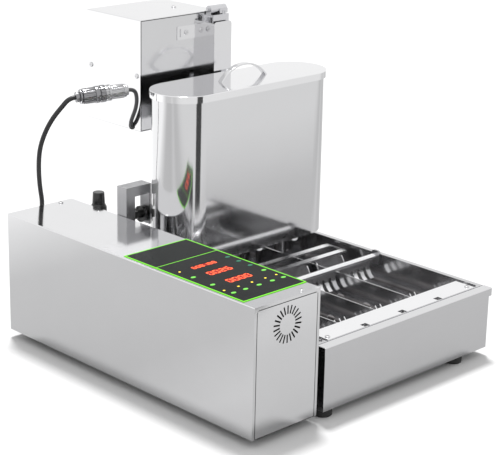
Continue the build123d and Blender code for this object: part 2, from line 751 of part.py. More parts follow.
def lane_dividers():
    """Upright plates between the lanes, pierced low down so that the oil levels out."""
    plates = []
    for lane in range(1, LANES):
        x = LANES_X0 + lane * LANE_PITCH
        height = (PAN_FLOOR + PAN_WALL, DIVIDER_TOP)
        wall = block(around(x, DIVIDER_THICK / 2), (DIVIDER_START, DIVIDER_END), height)
        for y in range(110, int(DIVIDER_END) - 20, 60):
            wall -= rod((x - 5, y, PAN_FLOOR + 22), (x + 5, y, PAN_FLOOR + 22), 9)
        plates.append(wall)
    return plates


def discharge_plate():
    """Bright plate across the front of the lanes that the donuts slide out over."""
    low = DISCHARGE_HEIGHT - PAN_WALL
    end = DISCHARGE_START + DISCHARGE_DEPTH
    ramp = block((LANES_X0, LANES_X1), (DISCHARGE_START, end), (low, DISCHARGE_HEIGHT))
    for lane in range(1, LANES):
        x = LANES_X0 + lane * LANE_PITCH
        front = (DISCHARGE_START - 1, DISCHARGE_START + NOTCH_DEPTH)
        ramp -= block(around(x, NOTCH_WIDTH / 2), front, (low - 1, DISCHARGE_HEIGHT + 1))
    return ramp


def shaft_bearings():
    """Four flanged bushes that carry the turner and lifter shafts at the pan's side walls."""
    bushes = []
    for y, z, radius in ((TURNER_Y, TURNER_Z, TURNER_RADIUS), (LIFTER_Y, LIFTER_Z, LIFTER_RADIUS)):
        for x in (PAN_IN0, PAN_IN1 - BEARING_WIDTH):
            width = (x, x + BEARING_WIDTH)
            half = BEARING_LENGTH / 2
            body = block(width, (y - half, y + half), (z - 14, z + radius + 5))
            body = fillet(body.edges().filter_by(Axis.X).group_by(Axis.Z)[-1], 6)
            bushes.append(body - rod((x - 1, y, z), (x + BEARING_WIDTH + 1, y, z), radius + RUNNING))
    return bushes


def shaft_with_lever(y, z, radius, arm):
    """A cross shaft in its bearings, with a slotted lever beside the left bearing."""
    ends = (PAN_IN0 + STAND_OFF, PAN_IN1 - STAND_OFF)
    shaft = rod((ends[0], y, z), (ends[1], y, z), radius)
    x = (LEVER_X0, LEVER_X0 + LEVER_THICK)
    lever = block(x, (y - 5, y + 5), (z, z + arm + 7)) + rod((x[0], y, z), (x[1], y, z), 8)
    return shaft + lever - block((x[0] - 1, x[1] + 1), (y - 2.5, y + 2.5), (z + 9, z + arm + 4))


def turner_comb(x):
    """One hanging comb with keyhole slots, its fingers curved forward."""
    middle = COMB_BEND
    outer = middle + COMB_THICK / 2
    inner = middle - COMB_THICK / 2
    angle = math.radians(COMB_ARC)
    far = 3 * COMB_BEND
    wedge = Polygon((0, 0), (far, 0), (far * math.cos(angle), -far * math.sin(angle)), align=None)
    curve = Pos(-middle, -COMB_DROP) * ((Circle(outer) - Circle(inner)) & wedge)
    flat = Pos(0, -COMB_DROP / 2) * Rectangle(COMB_THICK, COMB_DROP)
    left = (x - COMB_WIDTH / 2, TURNER_Y, TURNER_Z)
    profile = Plane(origin=left, x_dir=(0, 1, 0), z_dir=(1, 0, 0))
    comb = extrude(profile * (curve + flat), COMB_WIDTH)
    pitch = COMB_WIDTH / (COMB_SLOTS + 0.6)
    top = TURNER_Z - COMB_DROP - 4
    for slot in range(COMB_SLOTS):
        middle_x = x + (slot - (COMB_SLOTS - 1) / 2) * pitch
        half = COMB_SLOT / 2
        comb -= block((middle_x - half, middle_x + half), (TURNER_Y - 60, TURNER_Y + 10), (0, top))
        comb -= rod((middle_x, TURNER_Y - 60, top), (middle_x, TURNER_Y + 10, top), half + 1)
    return comb


def turner():
    """Turner shaft with one comb welded on in each lane."""
    part = shaft_with_lever(TURNER_Y, TURNER_Z, TURNER_RADIUS, TURNER_ARM)
    for x in LANE_MIDDLES:
        part += turner_comb(x)
    return part


def lifter():
    """Lifter shaft with one fork of bent wire tines in each lane."""
    part = shaft_with_lever(LIFTER_Y, LIFTER_Z, LIFTER_RADIUS, LIFTER_ARM)
    y = LIFTER_Y
    z = LIFTER_Z
    for middle in LANE_MIDDLES:
        for tine in range(FORK_TINES):
            x = middle + (tine - (FORK_TINES - 1) / 2) * TINE_PITCH
            route = FilletPolyline(
                (x, y, z - 1), (x, y + 8, z - 26), (x, y + 60, z - 30), (x, y + 68, z - 20), radius=4
            )
            part += tube_along(route, TINE_RADIUS)
        reach = (FORK_TINES - 1) / 2 * TINE_PITCH + 2
        part += rod((middle - reach, y + 30, z - 28), (middle + reach, y + 30, z - 28), TINE_RADIUS)
    return part


def lane_paddle(x):
    """Pusher paddle of one lane: a plate across the lane and two curved fins."""
    top = DIVIDER_TOP + STAND_OFF
    half = PADDLE_WIDTH / 2
    plate = block((x - half, x + half), (PUSHER_FRONT, PUSHER_FRONT + 2), (top - PADDLE_DROP, top))
    low = top - PADDLE_DROP
    fin_outline = [
        (PUSHER_FRONT, top),
        (PUSHER_FRONT - 8, top - 4),
        (PUSHER_FRONT - FIN_LENGTH * 0.75, top - 18),
        (PUSHER_FRONT - FIN_LENGTH, low),
        (PUSHER_FRONT, low),
    ]
    for side in (-1, 1):
        edge = x + side * (half - 1)
        plate += side_profile(fin_outline, (edge - 1, edge + 1))
    return plate


def link_tab(y, pin_z):
    """Tab on the link rail, with the short pin that drives a slotted lever."""
    x = (RAIL_X0, RAIL_X0 + RAIL_THICK)
    low = min(pin_z - 5, RAIL_Z)
    high = max(pin_z + 5, RAIL_Z + RAIL_HEIGHT)
    tab = block(x, (y - 6, y + 6), (low, high))
    pin_end = LEVER_X0 + LEVER_THICK + OPEN_PIVOT
    return tab + rod((pin_end, y, pin_z), (x[0], y, pin_z), 2)


def pusher_frame():
    """Sliding frame: cross bars with paddles, the link rail and the ear that the crank drives."""
    low = DIVIDER_TOP + STAND_OFF
    high = low + PUSHER_THICK
    ends = (RAIL_X0, LANES_X1 + STAND_OFF + RAIL_THICK)
    frame = block(ends, around(PUSHER_FRONT, PUSHER_BAR / 2), (low, high))
    frame += block(ends, around(PUSHER_REAR, PUSHER_BAR / 2), (low, high))
    for x in (ends[0], ends[1] - RAIL_THICK):
        frame += block((x, x + RAIL_THICK), (PUSHER_FRONT, PUSHER_REAR), (low, high))
    rail = (RAIL_X0, RAIL_X0 + RAIL_THICK)
    for y in (PUSHER_FRONT, PUSHER_REAR):
        frame += block(rail, around(y, PUSHER_BAR / 2), (low, RAIL_Z))
    rail_y = (LIFTER_Y - PUSHER_BAR / 2, PUSHER_REAR + PUSHER_BAR / 2)
    frame += block(rail, rail_y, (RAIL_Z, RAIL_Z + RAIL_HEIGHT))
    frame += link_tab(TURNER_Y, TURNER_Z + TURNER_ARM)
    frame += link_tab(LIFTER_Y, LIFTER_Z + LIFTER_ARM)
    ear = (CRANK_Y - 14, CRANK_Y + 14)
    step = RAIL_Z + RAIL_HEIGHT
    frame += block((HOUSING_X0 - SHEET, RAIL_X0 + RAIL_THICK), ear, (step - 2, step))
    upright = block(around(HOUSING_X0, SHEET), ear, (step - 2, CRANK_Z + CRANK_THROW + 10))
    slot_y = around(CRANK_Y, CRANK_PIN + LOOSE / 2)
    frame += upright - block(around(HOUSING_X0, 5), slot_y, around(CRANK_Z, CRANK_THROW + 5))
    for x in LANE_MIDDLES:
        frame += lane_paddle(x)
    return frame


# --- hopper -----------------------------------------------------------------------------------
def hopper_body():
    """Dough hopper: a stadium-shaped tub with one nozzle per lane and its fixing lugs."""
    tub = stadium(HOPPER_LENGTH, HOPPER_DEPTH, (HOPPER_BOTTOM, HOPPER_TOP))
    mouth = HOPPER_BOTTOM - NOZZLE_DROP
    for x in LANE_MIDDLES:
        tub += rod((x, HOPPER_Y, mouth), (x, HOPPER_Y, HOPPER_BOTTOM), NOZZLE_BORE + NOZZLE_WALL)
    tub += lock_lug()
    back = HOPPER_Y + HOPPER_DEPTH / 2
    for x in (MAST_X0 + 8, MAST_X1 - 8):
        tub += block(around(x, 7), (back - SHEET, MAST_Y0), (HOPPER_LUG, HOPPER_LUG + 22))
    inside = (HOPPER_BOTTOM + PAN_WALL, HOPPER_TOP + 1)
    tub -= stadium(HOPPER_LENGTH - 2 * SHEET, HOPPER_DEPTH - 2 * SHEET, inside)
    for x in LANE_MIDDLES:
        tub -= rod((x, HOPPER_Y, 0), (x, HOPPER_Y, HOPPER_BOTTOM + 5), NOZZLE_BORE)
    notch = around(SLIDER_MID, ARM_WIDTH / 2 + LOOSE + 1)
    return tub - block(notch, around(back, 5), (YOKE_Z - 10, HOPPER_TOP + 1))


def bracket_x1():
    """Right end of the bracket's arm."""
    return BOX_WIDTH + BRACKET_GAP + BRACKET_REACH


def lock_lug():
    """Lug on the hopper's back that the locking pin enters."""
    x0 = bracket_x1() + 10
    lug_y = (HOPPER_Y + 44, BRACKET_Y + BRACKET_DEPTH - 2)
    lug = block((x0, x0 + 3), lug_y, around(LOCK_Z, 13))
    y = BRACKET_Y + LOCK_INSET
    return lug - rod((x0 - 5, y, LOCK_Z), (x0 + 5, y, LOCK_Z), LOCK_PIN + RUNNING)


def hopper_lid():
    """Lid with a straight skirt that drops over the hopper's edge."""
    lid = stadium(LID_LENGTH, LID_DEPTH, (LID_TOP - LID_SKIRT, LID_TOP))
    lid = fillet(lid.edges().group_by(Axis.Z)[-1], 1)
    inside = (LID_TOP - LID_SKIRT - 1, LID_TOP - SHEET)
    return lid - stadium(LID_LENGTH - 2 * SHEET, LID_DEPTH - 2 * SHEET, inside)


def lid_handle():
    """Arched handle bent from flat bar, welded to the lid at both ends."""
    half = HANDLE_SPAN / 2
    outer_radius = (half**2 + HANDLE_RISE**2) / (2 * HANDLE_RISE)
    drop = outer_radius - HANDLE_RISE
    arch = Circle(outer_radius) - Circle(outer_radius - HANDLE_THICK)
    arch = arch & Pos(0, drop + outer_radius) * Rectangle(4 * outer_radius, 2 * outer_radius)
    place = Plane(
        origin=(TANK_MID + HANDLE_SHIFT, HOPPER_Y + HANDLE_WIDTH / 2, LID_TOP - drop),
        x_dir=(1, 0, 0),
        z_dir=(0, -1, 0),
    )
    bar = extrude(place * arch, HANDLE_WIDTH)
    return fillet(bar.edges().filter_by(GeomType.CIRCLE), 0.8)


def hopper_bracket():
    """Square-tube bracket: a leg beside the control box and an arm to the hopper's end."""
    x0 = BOX_WIDTH + BRACKET_GAP
    y = (BRACKET_Y, BRACKET_Y + BRACKET_DEPTH)
    wall = PAN_WALL
    leg = block((x0, x0 + BRACKET_WIDTH), y, (RIM_HEIGHT, BRACKET_TOP))
    arm = block((x0, bracket_x1()), y, (BRACKET_TOP - BRACKET_ARM, BRACKET_TOP))
    inner_y = (y[0] + wall, y[1] - wall)
    ceiling = BRACKET_TOP - wall
    inner = block((x0 + wall, x0 + BRACKET_WIDTH - wall), inner_y, (RIM_HEIGHT + wall, ceiling))
    arm_low = BRACKET_TOP - BRACKET_ARM + wall
    inner += block((x0 + wall, bracket_x1() - wall), inner_y, (arm_low, ceiling))
    foot = block((x0, PAN_IN0), y, (RIM_HEIGHT, RIM_HEIGHT + 3))
    plate_x = (bracket_x1() - 3, bracket_x1())
    plate = block(plate_x, y, (LOCK_Z - 16, BRACKET_TOP - BRACKET_ARM))
    pin_y = BRACKET_Y + LOCK_INSET
    bore = rod((plate_x[0] - 1, pin_y, LOCK_Z), (plate_x[1] + 1, pin_y, LOCK_Z), LOCK_PIN + RUNNING)
    return leg + arm - inner + foot + plate - bore


def hopper_lock_pin():
    """Pull pin with a black grip and a chrome collar."""
    y = BRACKET_Y + LOCK_INSET
    x1 = bracket_x1() + 13
    plate_x = bracket_x1() - 3
    pin = rod((plate_x - 12, y, LOCK_Z), (x1, y, LOCK_Z), LOCK_PIN)
    collar = rod((plate_x - 9, y, LOCK_Z), (plate_x - 4, y, LOCK_Z), 14)
    grip = rod((plate_x - 26, y, LOCK_Z), (plate_x - 9, y, LOCK_Z), 7)
    return fillet((pin + collar + grip).edges().filter_by(GeomType.CIRCLE).group_by(Axis.X)[0], 1.5)


def plunger_set():
    """Cross yoke in the hopper with one plunger rod and forming disc per nozzle."""
    z = (YOKE_Z, YOKE_Z + YOKE_SIZE)
    half = (LANES - 1) / 2 * LANE_PITCH + 10
    yoke = block((TANK_MID - half, TANK_MID + half), (HOPPER_Y - 6, HOPPER_Y + 6), z)
    arm_x = (SLIDER_MID - ARM_WIDTH / 2, SLIDER_MID + ARM_WIDTH / 2)
    yoke += block(arm_x, (HOPPER_Y, SLIDER_Y0), z)
    low = HOPPER_BOTTOM - NOZZLE_DROP + 2
    for x in LANE_MIDDLES:
        yoke += rod((x, HOPPER_Y, low), (x, HOPPER_Y, z[0]), PLUNGER_ROD)
        yoke += rod(
            (x, HOPPER_Y, low), (x, HOPPER_Y, low + PLUNGER_DISC), NOZZLE_BORE - PLUNGER_CLEARANCE
        )
    return yoke


# --- mast and motor box -----------------------------------------------------------------------
def mast():
    """Channel-section mast: face, both sides and a foot on the rear deck."""
    x = (MAST_X0, MAST_X1)
    outer = block(x, (MAST_Y0, MAST_Y1), (RIM_HEIGHT, MAST_TOP))
    corner = outer.edges().filter_by(Axis.Y).group_by(Axis.Z)[-1]
    outer = fillet(corner, 6)
    hollow = block((x[0] + SHEET, x[1] - SHEET), (MAST_Y0 + SHEET, MAST_Y1 + 1), (0, MAST_TOP + 1))
    foot = block(x, (PAN_REAR + 3, PAN_REAR + 3 + MAST_FOOT), (RIM_HEIGHT, RIM_HEIGHT + 3))
    half = ARM_WIDTH / 2 + LOOSE + 1
    slot = block(
        (SLIDER_MID - half, SLIDER_MID + half),
        (MAST_Y0 - 1, MAST_Y0 + 5),
        (YOKE_Z - 4, YOKE_Z + YOKE_SIZE + LIFT_STROKE + 3),
    )
    ear = block(
        (MAST_X0 - EAR_LENGTH, MAST_X0 + SHEET),
        (MAST_Y1 - SHEET, MAST_Y1),
        around(EAR_Z, EAR_HEIGHT / 2),
    )
    ear -= block(around(MAST_X0 - EAR_LENGTH + 6, 2), (MAST_Y0, MAST_Y1 + 1), around(EAR_Z, 7))
    return outer - hollow - slot + foot + ear


def motor_box_cover():
    """Bent cover of the depositor drive, open only at its front."""
    outer = block((CABINET_X0, CABINET_X1), (MAST_Y1, CABINET_Y1), (CABINET_BOTTOM, CABINET_TOP))
    outer = fillet(outer.edges().filter_by(Axis.Y), 1.5)
    inside = block(
        (CABINET_X0 + SHEET, CABINET_X1 - SHEET),
        (MAST_Y1 - 1, CABINET_Y1 - SHEET),
        (CABINET_BOTTOM + SHEET, CABINET_TOP - SHEET),
    )
    x, y, z = GROMMET
    return outer - inside - rod((x - 2, y, z), (x + 8, y, z), GROMMET_NECK)


def motor_box_front_plate():
    """Front plate let into the cover, with the window for the pinion."""
    inset = SHEET + SEAM
    panel = block(
        (CABINET_X0 + inset, CABINET_X1 - inset),
        (MAST_Y1, MAST_Y1 + SHEET),
        (CABINET_BOTTOM + inset, CABINET_TOP - inset),
    )
    reach = PITCH_RADIUS + TOOTH_HEAD + 1
    window = around(SLIDER_MID, PINION_WIDTH / 2 + 2)
    return panel - block(window, (MAST_Y1 - 1, MAST_Y1 + 5), around(PINION_Z, reach))


def depositor_motor():
    """Gearmotor of the depositor, on a bracket behind the front plate."""
    x1 = SLIDER_MID - PINION_WIDTH / 2 - 8
    x0 = x1 - 50
    half = GEARBOX / 2
    y = PINION_Y + 22
    gearbox = block((x0, x1), around(y, half), around(PINION_Z, half))
    gearbox = fillet(gearbox.edges().filter_by(Axis.X), 5)
    motor = rod((x0 - MOTOR_LENGTH + 20, y, PINION_Z), (x0, y, PINION_Z), MOTOR_RADIUS)
    bracket = block((x0, x0 + 3), (MAST_Y1 + SHEET, PINION_Y), around(PINION_Z, half + 6))
    bore = rod((x0 + 20, PINION_Y, PINION_Z), (x1 + 1, PINION_Y, PINION_Z), PINION_SHAFT + RUNNING)
    return gearbox + motor + bracket - bore


def drive_pinion():
    """Pinion on its shaft, one tooth pointing straight at the rack."""
    pitch_angle = 360 / PINION_TEETH
    slope = math.tan(math.radians(PRESSURE_ANGLE))
    tip = PITCH_RADIUS + TOOTH_HEAD
    root = PITCH_RADIUS - TOOTH_ROOT
    tip_half = TOOTH_WIDTH / 2 - TOOTH_HEAD * slope
    root_half = TOOTH_WIDTH / 2 + TOOTH_ROOT * slope
    tooth = Polygon(
        (-root_half, root - 1), (root_half, root - 1), (root_half, root),
        (tip_half, tip), (-tip_half, tip), (-root_half, root), align=None,
    )
    wheel = Circle(root)
    for turn in range(PINION_TEETH):
        wheel += Rot(0, 0, 90 + turn * pitch_angle) * tooth
    place = Plane(
        origin=(SLIDER_MID - PINION_WIDTH / 2, PINION_Y, PINION_Z), x_dir=(0, 1, 0), z_dir=(1, 0, 0)
    )
    gear = extrude(place * wheel, PINION_WIDTH)
    shaft_x = (SLIDER_MID - PINION_WIDTH / 2 - 36, SLIDER_MID + 7)
    return gear + rod((shaft_x[0], PINION_Y, PINION_Z), (shaft_x[1], PINION_Y, PINION_Z), PINION_SHAFT)


def lift_slider():
    """Sliding plate in the mast with a toothed rack on its back."""
    plate = block(
        (SLIDER_X0, SLIDER_X0 + SLIDER_WIDTH),
        (SLIDER_Y0, SLIDER_Y0 + SLIDER_THICK),
        (SLIDER_BOTTOM, SLIDER_TOP),
    )
    pitch = MODULE * math.pi
    slope = math.tan(math.radians(PRESSURE_ANGLE))
    base_y = RACK_LINE - TOOTH_ROOT
    low = PINION_Z - RACK_TEETH * pitch / 2
    bar_y = (SLIDER_Y0 + SLIDER_THICK, base_y)
    half = PINION_WIDTH / 2
    x = (SLIDER_MID - half, SLIDER_MID + half)
    plate += block(x, bar_y, (low - 4, low + RACK_TEETH * pitch + 4))
    tip_half = TOOTH_WIDTH / 2 - TOOTH_HEAD * slope
    root_half = TOOTH_WIDTH / 2 + TOOTH_ROOT * slope
    for tooth in range(-1, RACK_TEETH):
        z = low + (tooth + 1) * pitch
        outline = [
            (base_y - 1, z - root_half), (base_y, z - root_half), (RACK_LINE + TOOTH_HEAD, z - tip_half),
            (RACK_LINE + TOOTH_HEAD, z + tip_half), (base_y, z + root_half), (base_y - 1, z + root_half),
        ]
        plate += side_profile(outline, x)
    return plate


def slider_hook():
    """Folded sheet on top of the slider with a rolled hem round a cross pin, and a wing nut."""
    x = (SLIDER_X0, SLIDER_X0 + SLIDER_WIDTH)
    shelf_z = SLIDER_TOP
    hem_y = MAST_Y1 - HEM_RADIUS - 2
    sheet = block(x, (SLIDER_Y0, hem_y + HEM_RADIUS), (shelf_z, shelf_z + SLIDER_THICK))
    back = (hem_y + HEM_RADIUS - STRAP_THICK, hem_y + HEM_RADIUS)
    sheet += block(x, back, (shelf_z, HEM_Z))
    strap = (x[0], x[0] + STRAP_THICK)
    sheet += block(strap, (hem_y - HEM_RADIUS / 2, hem_y + HEM_RADIUS), (shelf_z, HEM_Z))
    sheet += rod((x[0], hem_y, HEM_Z), (x[1], hem_y, HEM_Z), HEM_RADIUS)
    sheet += rod((x[0] - 4, hem_y, HEM_Z), (x[1] + 1, hem_y, HEM_Z), 2.4)
    nut_x = x[1] - 9
    nut_y = SLIDER_Y0 + 4
    top = shelf_z + SLIDER_THICK
    nut = rod((nut_x, nut_y, top), (nut_x, nut_y, top + 5), 3.5)
    wings = block(around(nut_x, WING_REACH), around(nut_y, 1), (top + 1, top + WING_REACH))
    return sheet + nut + wings


def clamp_knob():
    """Flared black knob on a threaded stem that clamps the drive unit to the deck."""
    outline = [
        (0, -KNOB_LENGTH),
        (KNOB_SKIRT, -KNOB_LENGTH),
        (KNOB_SKIRT, 8 - KNOB_LENGTH),
        (KNOB_NECK + 1, 14 - KNOB_LENGTH),
        (KNOB_NECK, -1),
        (KNOB_NECK - 1, 0),
        (0, 0),
    ]
    profile = Plane.XZ * Polygon(*outline, align=None)
    knob = Pos(KNOB_X, KNOB_Y, KNOB_TOP) * revolve(profile, Axis.Z)
    stem_z = (FLANGE_Z - 14, KNOB_TOP - KNOB_LENGTH + 4)
    return knob + rod((KNOB_X, KNOB_Y, stem_z[0]), (KNOB_X, KNOB_Y, stem_z[1]), KNOB_STEM)


# --- screws -----------------------------------------------------------------------------------
def cover_screws():
    """Cross-recessed screws of the covers, the deck and the discharge plate."""
    top = BOX_HEIGHT
    mid = (CABINET_BOTTOM + CABINET_TOP) / 2
    heads = [
        screw((BOX_WIDTH * 0.77, 9, top), (0, 0, 1)),
        screw((BOX_WIDTH * 0.77, BOX_LENGTH - 9, top), (0, 0, 1)),
        screw((CABINET_X0, MAST_Y1 + 9, mid), (-1, 0, 0)),
        screw((CABINET_X0, CABINET_Y1 - 10, mid), (-1, 0, 0)),
        screw((CABINET_X0 + 128, MAST_Y1 + 62, CABINET_TOP), (0, 0, 1)),
        screw((MAST_X0 - 42, MAST_Y1 - SHEET, EAR_Z), (0, -1, 0)),
        screw((MAST_X0 - 8, MAST_Y1 - SHEET, EAR_Z), (0, -1, 0)),
    ]
    for x in (LANES_X0 + 8, LANES_X1 - 8):
        heads.append(screw((x, DISCHARGE_START + 9, DISCHARGE_HEIGHT), (0, 0, 1)))
    return heads


# --- connectors and cables --------------------------------------------------------------------
CONNECTOR_AXIS = Vector(0.92, -0.384, 0.075).normalized()
CONNECTOR_RIGHT = Vector(179.5, 491.0, 405.5)
CONNECTOR_LEFT = CONNECTOR_RIGHT - CONNECTOR_AXIS * CONNECTOR_LENGTH
GROMMET = (CABINET_X0, MAST_Y1 + 22.0, CABINET_BOTTOM + 7.5)
PIGTAIL_ROUTE = (
    tuple(CONNECTOR_RIGHT),
    tuple(CONNECTOR_RIGHT + CONNECTOR_AXIS * 12),
    (197.5, 488.0, 389.0),
    (197.5, 492.0, 370.0),
    (196.8, 499.5, 355.0),
    (197.5, 506.0, 342.0),
    (GROMMET[0] - GROMMET_FLANGE, GROMMET[1], GROMMET[2]),
)
CABLE_ROUTE = (
    tuple(CONNECTOR_LEFT),
    tuple(CONNECTOR_LEFT - CONNECTOR_AXIS * 10),
    (75.5, 534.5, 384.0),
    (64.0, 543.5, 366.0),
    (56.0, 554.5, 341.5),
    (54.0, 567.5, 311.5),
    (61.5, 582.0, 276.5),
    (74.5, BOX_LENGTH + 10.5, 236.5),
    (90.0, BOX_LENGTH + 24.0, 199.0),
    (100.0, BOX_LENGTH + 45.0, 168.0),
    (106.0, BOX_LENGTH + 65.0, 135.0),
    (108.0, BOX_LENGTH + 80.0, 104.0),
    (107.5, BOX_LENGTH + 80.0, 77.0),
    (105.5, BOX_LENGTH + 68.0, 55.0),
    (102.5, BOX_LENGTH + 48.0, GLAND_Z),
    (GLAND_X, BOX_LENGTH + GLAND_LENGTH, GLAND_Z),
)


def connector_piece(start, end, radii):
    """One half of the inline connector: rings of several radii in a row along its axis."""
    run = end - start
    step = run.length / len(radii)
    piece = None
    for index, radius in enumerate(radii):
        low = start + run.normalized() * (index * step)
        high = start + run.normalized() * ((index + 1) * step)
        ring = rod(tuple(low), tuple(high), radius)
        piece = ring if piece is None else piece + ring
    return piece


def connector_split():
    """Where the plug meets the socket."""
    return CONNECTOR_LEFT + (CONNECTOR_RIGHT - CONNECTOR_LEFT) * PLUG_SHARE


def arc_radii(points, share=0.45):
    """Arc at each inner point of a route, as large as its two runs allow."""
    radii = []
    for before, here, after in zip(points, points[1:], points[2:]):
        first = Vector(*here) - Vector(*before)
        second = Vector(*after) - Vector(*here)
        half_turn = math.radians(first.get_angle(second)) / 2
        radii.append(share * min(first.length, second.length) / math.tan(half_turn))
    return radii


def cord(name, points, radius):
    """A plain round cord along its route, with its length and arc radii printed."""
    radii = arc_radii(points)
    route = FilletPolyline(*points, radius=radii)
    tube = tube_along(route, radius)
    section = math.pi * radius**2
    print(name, "length", round(route.length, 1), "volume over section", round(tube.volume / section, 1))
    print(name, "radii", [round(value, 1) for value in radii])
    return tube


def cable_gland():
    """Hexagonal cable gland with a domed nut on the rear plate."""
    plane = Plane(origin=(GLAND_X, BOX_LENGTH, GLAND_Z), x_dir=(1, 0, 0), z_dir=(0, 1, 0))
    body = extrude(plane * RegularPolygon(11, 6), 8)
    dome = rod((GLAND_X, BOX_LENGTH + 8, GLAND_Z), (GLAND_X, BOX_LENGTH + GLAND_LENGTH, GLAND_Z), 9)
    dome = fillet(dome.edges().group_by(Axis.Y)[-1], 3)
    neck = rod((GLAND_X, BOX_LENGTH - 12, GLAND_Z), (GLAND_X, BOX_LENGTH, GLAND_Z), GLAND_NECK)
    return body + dome + neck


def pigtail_grommet():
    """Rubber grommet where the pigtail enters the motor box."""
    x, y, z = GROMMET
    flange = rod((x - GROMMET_FLANGE, y, z), (x, y, z), GROMMET_NECK + 1.5)
    return flange + rod((x, y, z), (x + 4, y, z), GROMMET_NECK - 0.2)


# --- everything is written out ----------------------------------------------------------------
save("control_box_shell", control_box_shell())
save("control_box_front_plate", control_box_front_plate())
save("control_box_rear_plate", control_box_rear_plate())
save("control_box_base", control_box_base())
save("rubber_feet", *feet())
save("cover_screws", *cover_screws())
save("panel_overlay", panel_overlay())
save("digit_displays", *digit_displays())
save("indicator_lamps", *indicator_lamps())
save("control_board", control_board())
for number, (key_x, key_y) in enumerate(key_places(), start=1):
    save(f"key_{number}", key(key_x, key_y))
save("cooling_fan_frame", fan_frame())
save("cooling_fan_rotor", fan_rotor())
save("power_supply", power_supply())
save("heater_relays", heater_relays())
save("drive_motor", drive_motor())
save("drive_crank", drive_crank())
save("mains_inlet", mains_inlet())
save("tank_housing", tank_housing())
save("tank_front_panel", tank_front_panel())
save("tank_pan", tank_pan())
save("rear_deck", rear_deck())
save("heating_element", *heating_element())
save("thermostat_probe", thermostat_probe())
save("lane_dividers", *lane_dividers())
save("discharge_plate", discharge_plate())
save("shaft_bearings", *shaft_bearings())
save("turner", turner())
save("lifter", lifter())
save("pusher_frame", pusher_frame())
save("hopper_body", hopper_body())
save("hopper_lid", hopper_lid())
save("lid_handle", lid_handle())
save("hopper_bracket", hopper_bracket())
save("hopper_lock_pin", hopper_lock_pin())
save("plunger_set", plunger_set())
save("mast", mast())
save("motor_box_cover", motor_box_cover())
save("motor_box_front_plate", motor_box_front_plate())
save("depositor_motor", depositor_motor())
save("drive_pinion", drive_pinion())
save("lift_slider", lift_slider())
save("slider_hook", slider_hook())
save("clamp_knob", clamp_knob())
save("connector_plug", connector_piece(CONNECTOR_LEFT, connector_split(), PLUG_RINGS))
save("connector_socket", connector_piece(connector_split(), CONNECTOR_RIGHT, SOCKET_RINGS))
save("pigtail_grommet", pigtail_grommet())
save("cable_gland", cable_gland())
save("pigtail_cable", cord("pigtail_cable", PIGTAIL_ROUTE, PIGTAIL_RADIUS))
save("motor_cable", cord("motor_cable", CABLE_ROUTE, CABLE_RADIUS))
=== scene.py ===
import math

import bpy
from mathutils import Matrix, Vector


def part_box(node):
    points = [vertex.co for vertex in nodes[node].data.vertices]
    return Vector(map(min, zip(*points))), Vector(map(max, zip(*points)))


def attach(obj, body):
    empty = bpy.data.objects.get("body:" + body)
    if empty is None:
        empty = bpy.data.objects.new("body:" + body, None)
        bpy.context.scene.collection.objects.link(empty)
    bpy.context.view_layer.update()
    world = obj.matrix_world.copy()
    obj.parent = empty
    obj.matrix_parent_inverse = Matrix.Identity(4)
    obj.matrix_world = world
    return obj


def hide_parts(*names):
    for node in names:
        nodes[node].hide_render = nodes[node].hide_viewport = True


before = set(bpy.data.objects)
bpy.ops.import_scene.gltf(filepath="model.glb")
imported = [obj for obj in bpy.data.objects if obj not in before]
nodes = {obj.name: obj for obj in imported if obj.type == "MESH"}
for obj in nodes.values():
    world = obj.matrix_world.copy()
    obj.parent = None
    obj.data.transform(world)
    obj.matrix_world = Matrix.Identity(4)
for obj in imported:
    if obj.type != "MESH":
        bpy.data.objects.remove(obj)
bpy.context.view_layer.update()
bpy.ops.object.select_all(action="DESELECT")

# --- Camera -----------------------------------------------------------------------------------
# A long lens at the machine's front left corner, a little above its lid, looking down at the
# control panel and into the tank.
yaw, pitch, roll = -0.7728, 0.3106, 0.0200
forward = Vector((-math.sin(yaw) * math.cos(pitch), math.cos(yaw) * math.cos(pitch), -math.sin(pitch)))
level_right = Vector((math.cos(yaw), math.sin(yaw), 0))
level_up = level_right.cross(forward)
right = math.cos(roll) * level_right + math.sin(roll) * level_up
up = math.cos(roll) * level_up - math.sin(roll) * level_right
bpy.ops.object.camera_add()
camera = bpy.context.object
camera.name = "camera"
camera.matrix_world = Matrix.Translation((-1.7326, -1.7824, 1.0072)) @ Matrix(
    (right, up, -forward)
).transposed().to_4x4()
camera.data.lens = 113.42
camera.data.sensor_width = 36.0
camera.data.shift_x = 0.0113
camera.data.shift_y = -0.0054
camera.data.clip_end = 60.0
bpy.context.scene.camera = camera

# --- Motor cable and pigtail ------------------------------------------------------------------
# The black round cable comes out of a gland low on the control box's rear plate, rises in a wide
# bow and ends in an inline connector; a thin grey pigtail joins that to the motor box's left side.
# Both are extruded PVC: satin black, with a faint orange-peel skin.


